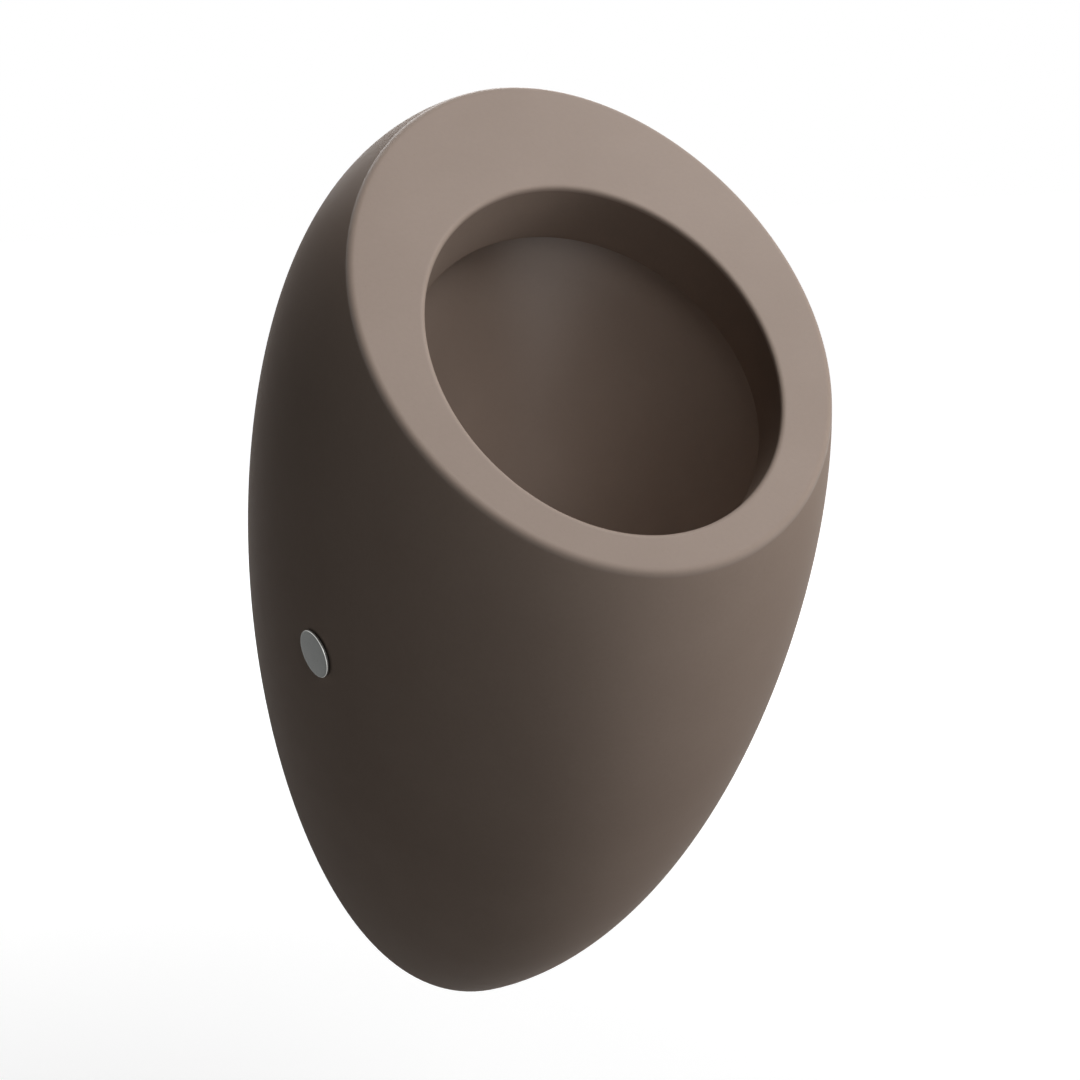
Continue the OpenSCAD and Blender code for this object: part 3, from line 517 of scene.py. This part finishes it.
# Each row's loop, material number and weight, from the sump up the bowl and the band, over the mouth and
# the rim, down the skin to the wall, and back up and down inside the hollow
def ceramicRows():
    b = body
    loops, kinds, weights = [], [], []

    def add(rows, kind, weight=0.0):
        loops.extend(rows)
        kinds.extend([kind] * len(rows))
        weights.extend([weight] * len(rows) if np.isscalar(weight) else list(weight))

    n = b["roundRows"]
    # The rounded rim and mouth edges are paler in their middle: partly thin glaze, partly a painted
    # highlight
    thin = b["edgeThin"] * np.sin(np.linspace(0, math.pi, n + 1))
    add([bowlLoop(s, 0) for s in np.linspace(1, 0, b["bowlRows"] + 1)], bowlGlaze)

    bandLow = b["bandDepth"] - b["bandRound"]
    bandEdge = bandLoop(b["bandDepth"], 0)
    ledge = bowlLoop(0, 0) - bandEdge
    ledge = ledge / np.linalg.norm(ledge, axis=1)[:, None]
    onLedge = bandEdge + ledge * b["bandRound"]
    add([bandEdge + ledge * b["undercut"] * share for share in b["ledgeShares"]], outerGlaze)
    # The band's rows wear the darker copy of the glaze, as painted shade under the rim
    add(blendRows(onLedge, bandEdge, bandLoop(bandLow, 0), b["bandEdgeRows"], False), bandPaintedShade)
    add([bandLoop(d, 0) for d in np.linspace(bandLow, b["mouthRound"], b["bandRows"] + 1)[1:]], bandPaintedShade)

    mouthEdge = bandLoop(0, b["mouthRound"])
    rimEdge = skinLoop(0, 1, b["rimRound"])
    add(blendRows(bandLoop(b["mouthRound"], 0), bandLoop(0, 0), mouthEdge, n), rimGlaze, thin[1:])
    add([mouthEdge + (rimEdge - mouthEdge) * share for share in b["faceShares"]], rimGlaze)
    add(blendRows(rimEdge, skinLoop(0, 1, 0), skinLoop(b["rimRound"], 1, 0), n, False), rimGlaze, thin)

    turns = np.linspace(1, 0, b["skinRows"] + 1)[1:-1]
    add([skinLoop(b["rimRound"], share, 0) for share in turns], outerGlaze)
    outer = skinLoop(b["rimRound"], 0, 0)
    inner = skinLoop(b["rimRound"], 0, b["skin"])
    up = loops[-1] - outer
    up = up / np.linalg.norm(up, axis=1)[:, None] * b["wallRound"]
    across = (inner - outer) / b["skin"] * b["wallRound"]
    add(blendRows(outer + up, outer, outer + across, b["wallRoundRows"], False), outerGlaze)

    deep = b["skin"] + b["mouthRound"]
    bandBack = np.linspace(deep, b["bandDepth"] - b["bowlWall"], b["bandBackRows"] + 1)
    add([skinLoop(deep, share, b["skin"]) for share in np.linspace(0, 1, b["hollowRows"] + 1)], bareClay)
    add([bandLoop(d, b["bowlWall"]) for d in bandBack], bareClay)
    add([bowlLoop(s, b["bowlWall"]) for s in np.linspace(0, 1, b["backRows"] + 1)], bareClay)
    return loops, kinds, weights


# The body: one closed skin, joined with the bar and the bosses, then cut by the holes and their seats
def makeCeramicBody():
    b = body
    f = fitting
    loops, kinds, weights = ceramicRows()
    first = [0, -b["drainY"], -b["sumpDrop"]]
    last = [0, -b["drainY"], -b["sumpDrop"] - b["bowlWall"]]
    clays = [dressed[name] for name in clayNames]
    piece = closedSkin("ceramicBody", loops, kinds, weights, first, last, clays)
    print("ceramic shell:", len(loops), "rows")

    up = [0.0, 0.0, 1.0]
    toWall = [0.0, 1.0, 0.0]
    inletPlace = [0, -b["bowlBack"], bowlTop()[1] - f["inletDrop"]]
    drainRoot = -b["bowlWall"] * f["bossRootShare"]
    inletRoot = -b["bowlWall"] * f["inletRootShare"]
    adds = [
        ("drainBoss", drum(f["bossRadius"], -f["bossHeight"], drainRoot, f["bossRound"], f["rootRound"]),
         first, up, bareClay),
        ("inletBoss", drum(f["inletBoss"], inletRoot, f["inletBossOut"], f["rootRound"], f["bossRound"]),
         inletPlace, toWall, bareClay),
    ]
    carve(piece, [makeBar(clays)] + [turned(*row, clays) for row in adds], "UNION")

    edges = [f["cutRound"], f["cutRound"]]
    over = f["drainOver"]
    seat = -f["inletSeatIn"]
    spudLow = seat - f["spudIn"]
    sideLow = -b["skin"] - f["sideIn"]
    cuts = [
        ("drainHole", drum(f["drainHole"], -f["bossHeight"] - over, -over, *edges), first, up, bareClay),
        ("drainSeat", flared(f["seatRadius"], -f["seatDepth"], 0.0, f["seatEdge"], f["seatOut"]),
         first, up, outerGlaze),
        ("spudHole", drum(f["spudHole"], spudLow, f["spudOut"], *edges), inletPlace, toWall, bareClay),
        ("spudSeat", drum(f["spudSeat"], spudLow, seat, *edges), inletPlace, toWall, outerGlaze),
    ]
    for hand in (-1.0, 1.0):
        hole = flared(f["sideHole"], sideLow, f["sideMouth"], f["sideEdge"], f["sideOut"])
        cuts.append(("sideHole", hole, *sidePlace(hand), outerGlaze))
    carve(piece, [turned(*row, clays) for row in cuts], "DIFFERENCE")
    piece.data.set_sharp_from_angle(angle=b["sharpAngle"])
    print("ceramic carved:", len(piece.data.polygons), "faces")
    return piece


ceramicBody = makeCeramicBody()
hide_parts("ceramic_body")
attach(ceramicBody, "root")

# A cover cap: a shallow dome with a turned edge, and a ring behind that pushes into the bush. In metres,
# with how strongly each row of the turned edge carries a painted highlight.
cap = {
    "radius": 0.01375, "gap": 0.0003, "thick": 0.0024, "edge": 0.0006, "dome": 0.00012, "backEdge": 0.0003,
    "stemRadius": 0.0072, "stemThick": 0.0014, "stemDepth": 0.0032, "steps": 160, "backRows": 4,
    "edgeRows": 8, "domeRows": 13, "bright": [0.9, 1.0, 1.0, 0.8, 0.5, 0.2, 0.0, 0.0, 0.0],
    "sharpAngle": math.radians(50),
}


# The cap's profile from the middle of its back to the middle of its face, where the dome falls away by
# the square of the radius
def makeCap(name, hand):
    c = cap
    radius, gap, edge, backEdge = c["radius"], c["gap"], c["edge"], c["backEdge"]
    face = gap + c["thick"]
    rim = face - c["dome"]
    inner = c["stemRadius"] - c["stemThick"]
    back = [[0, gap], [inner, gap], [inner, -c["stemDepth"]], [c["stemRadius"], -c["stemDepth"]],
            [c["stemRadius"], gap]]
    low = rounded([radius - backEdge, gap], [radius, gap], [radius, gap + backEdge], c["backRows"]).tolist()
    high = rounded([radius, rim - edge], [radius, rim], [radius - edge, rim], c["edgeRows"]).tolist()
    share = np.linspace(1, 0, c["domeRows"] + 1)[1:]
    dome = np.column_stack([(radius - edge) * share, face - c["dome"] * share ** 2]).tolist()
    # Only the turned edge's rows carry the painted highlight; the back and the face stay plain
    plainBack = [0.0] * (len(back) - 1 + len(low))
    plainFace = [0.0] * (len(dome) - 1)
    return turned(name, back + low + high + dome, *sidePlace(hand), 0, [dressed["cap_steel"]], c["steps"],
                  plainBack + c["bright"] + plainFace)


for name, hand in (("capLeft", -1.0), ("capRight", 1.0)):
    piece = makeCap(name, hand)
    piece.data.set_sharp_from_angle(angle=cap["sharpAngle"])
    side = name[3:].lower()
    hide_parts("cap_" + side)
    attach(piece, side + "_cap")
print("caps made")

# Every CAD node that stays wears the finish of its material slot
for part in frame["record"]["subparts"]:
    frame["nodes"][part["node"]].data.materials[0] = dressed[part["material_slot"]]


# Stands a camera or a lamp at a distance from a middle, looking at it, by the angle round it from the
# front and the angle above it
def standRound(thing, middle, around, up, distance):
    away = Vector((math.sin(around) * math.cos(up), -math.cos(around) * math.cos(up), math.sin(up)))
    thing.location = Vector(middle) + away * distance
    thing.rotation_euler = (-away).to_track_quat("-Z", "Y").to_euler()
    bpy.context.scene.collection.objects.link(thing)


# The camera stands where the photograph was taken from, found by fitting the outline
view = {"left": math.radians(20.1), "up": math.radians(16.4), "distance": 1.124,
        "target": (-0.0098, -0.1247, 0.0489), "lens": 66.67, "sensor": 36.0, "clipEnd": 50}


def makeCamera():
    data = bpy.data.cameras.new("camera")
    data.lens = view["lens"]
    data.sensor_width = view["sensor"]
    data.clip_end = view["clipEnd"]
    camera = bpy.data.objects.new("camera", data)
    standRound(camera, view["target"], -view["left"], view["up"], view["distance"])
    bpy.context.scene.camera = camera


makeCamera()

# Studio: a pale floor under the hung piece, a white surround and soft lamps round the object's middle
studio = {
    "floorZ": -0.60, "floorSize": 12.0, "floorGlow": 0.55, "floorTone": (0.55, 0.55, 0.55),
    "floorBounce": (0.22, 0.22, 0.22), "glowSpan": (0.5, 2.2),
    "ambient": 0.01, "ambientColour": (0.95, 0.96, 1.0), "middle": (0.0, -0.13, 0.05), "away": 2.2,
}
lamps = {
    "key": {"around": 100.0, "up": 60.0, "size": 1.2, "power": 14.0},
    "high": {"around": 48.0, "up": 70.0, "size": 1.2, "power": 14.0},
    "near": {"around": 28.0, "up": 42.0, "size": 1.2, "power": 12.2},
    "side": {"around": 58.0, "up": 4.0, "size": 1.1, "power": 13.0},
    "front": {"around": -2.0, "up": 20.0, "size": 1.1, "power": 7.0},
    "left": {"around": -124.0, "up": 12.0, "size": 1.6, "power": 2.1},
    "back": {"around": 172.0, "up": 24.0, "size": 1.6, "power": 17.0},
}


# One for any of the named kinds of ray, and else zero
def anyRay(tree, kinds):
    path = newNode(tree, "LightPath")
    found = (path, kinds[0])
    for kind in kinds[1:]:
        either = newNode(tree, "Math", {"operation": "MAXIMUM"}, None, {0: found, 1: (path, kind)})
        found = (either, 0)
    return found


# The floor seen from the camera or in gloss glows more with the distance, up to white, and takes the
# object's shadow. For other rays it is plain and pale grey.
def makeFloor():
    half = studio["floorSize"] / 2
    z = studio["floorZ"]
    mesh = bpy.data.meshes.new("floor")
    corners = [(-half, -half, z), (half, -half, z), (half, half, z), (-half, half, z)]
    mesh.from_pydata(corners, [], [(0, 1, 2, 3)])
    floor = bpy.data.objects.new("floor", mesh)
    bpy.context.scene.collection.objects.link(floor)
    m = bpy.data.materials.new("paleFloor")
    m.use_nodes = True
    tree = m.node_tree
    tree.nodes.clear()
    plain = newNode(tree, "BsdfDiffuse", None, {"Color": (*studio["floorBounce"], 1)})
    coords = newNode(tree, "TexCoord")
    reach = newNode(tree, "VectorMath", {"operation": "LENGTH"}, None, {0: (coords, "Object")})
    fade = newRange(tree, studio["glowSpan"], studio["floorGlow"], 1.0, (reach, "Value"))
    fade.interpolation_type = "SMOOTHSTEP"
    shown = newNode(tree, "BsdfDiffuse", None, {"Color": (*studio["floorTone"], 1)})
    glow = newNode(tree, "Emission", None, None, {"Strength": (fade, "Result")})
    both = newNode(tree, "AddShader", None, None, {0: (shown, 0), 1: (glow, 0)})
    seen = anyRay(tree, ["Is Camera Ray", "Is Glossy Ray"])
    mix = newNode(tree, "MixShader", None, None, {"Fac": seen, 1: (plain, 0), 2: (both, 0)})
    newNode(tree, "OutputMaterial", None, None, {"Surface": (mix, 0)})
    mesh.materials.append(m)


# White for the camera and in reflections, and a faint cool light for everything else
def makeSurround():
    world = bpy.data.worlds.new("surround")
    bpy.context.scene.world = world
    world.use_nodes = True
    tree = world.node_tree
    tree.nodes.clear()
    dim = newNode(tree, "Background", None,
                  {"Color": (*studio["ambientColour"], 1), "Strength": studio["ambient"]})
    white = newNode(tree, "Background", None, {"Color": (1, 1, 1, 1)})
    seen = anyRay(tree, ["Is Camera Ray", "Is Glossy Ray", "Is Transmission Ray"])
    mix = newNode(tree, "MixShader", None, None, {"Fac": seen, 1: (dim, 0), 2: (white, 0)})
    newNode(tree, "OutputWorld", None, None, {"Surface": (mix, 0)})


# Round soft lamps, each by its own angles, size in metres and power in watts
def makeLamps():
    for name, lamp in lamps.items():
        data = bpy.data.lights.new(name, "AREA")
        data.shape = "DISK"
        data.size = lamp["size"]
        data.energy = lamp["power"]
        light = bpy.data.objects.new(name, data)
        around, up = math.radians(lamp["around"]), math.radians(lamp["up"])
        standRound(light, studio["middle"], around, up, studio["away"])


bpy.context.scene.view_settings.view_transform = "Standard"
makeFloor()
makeSurround()
makeLamps()
print("studio set")
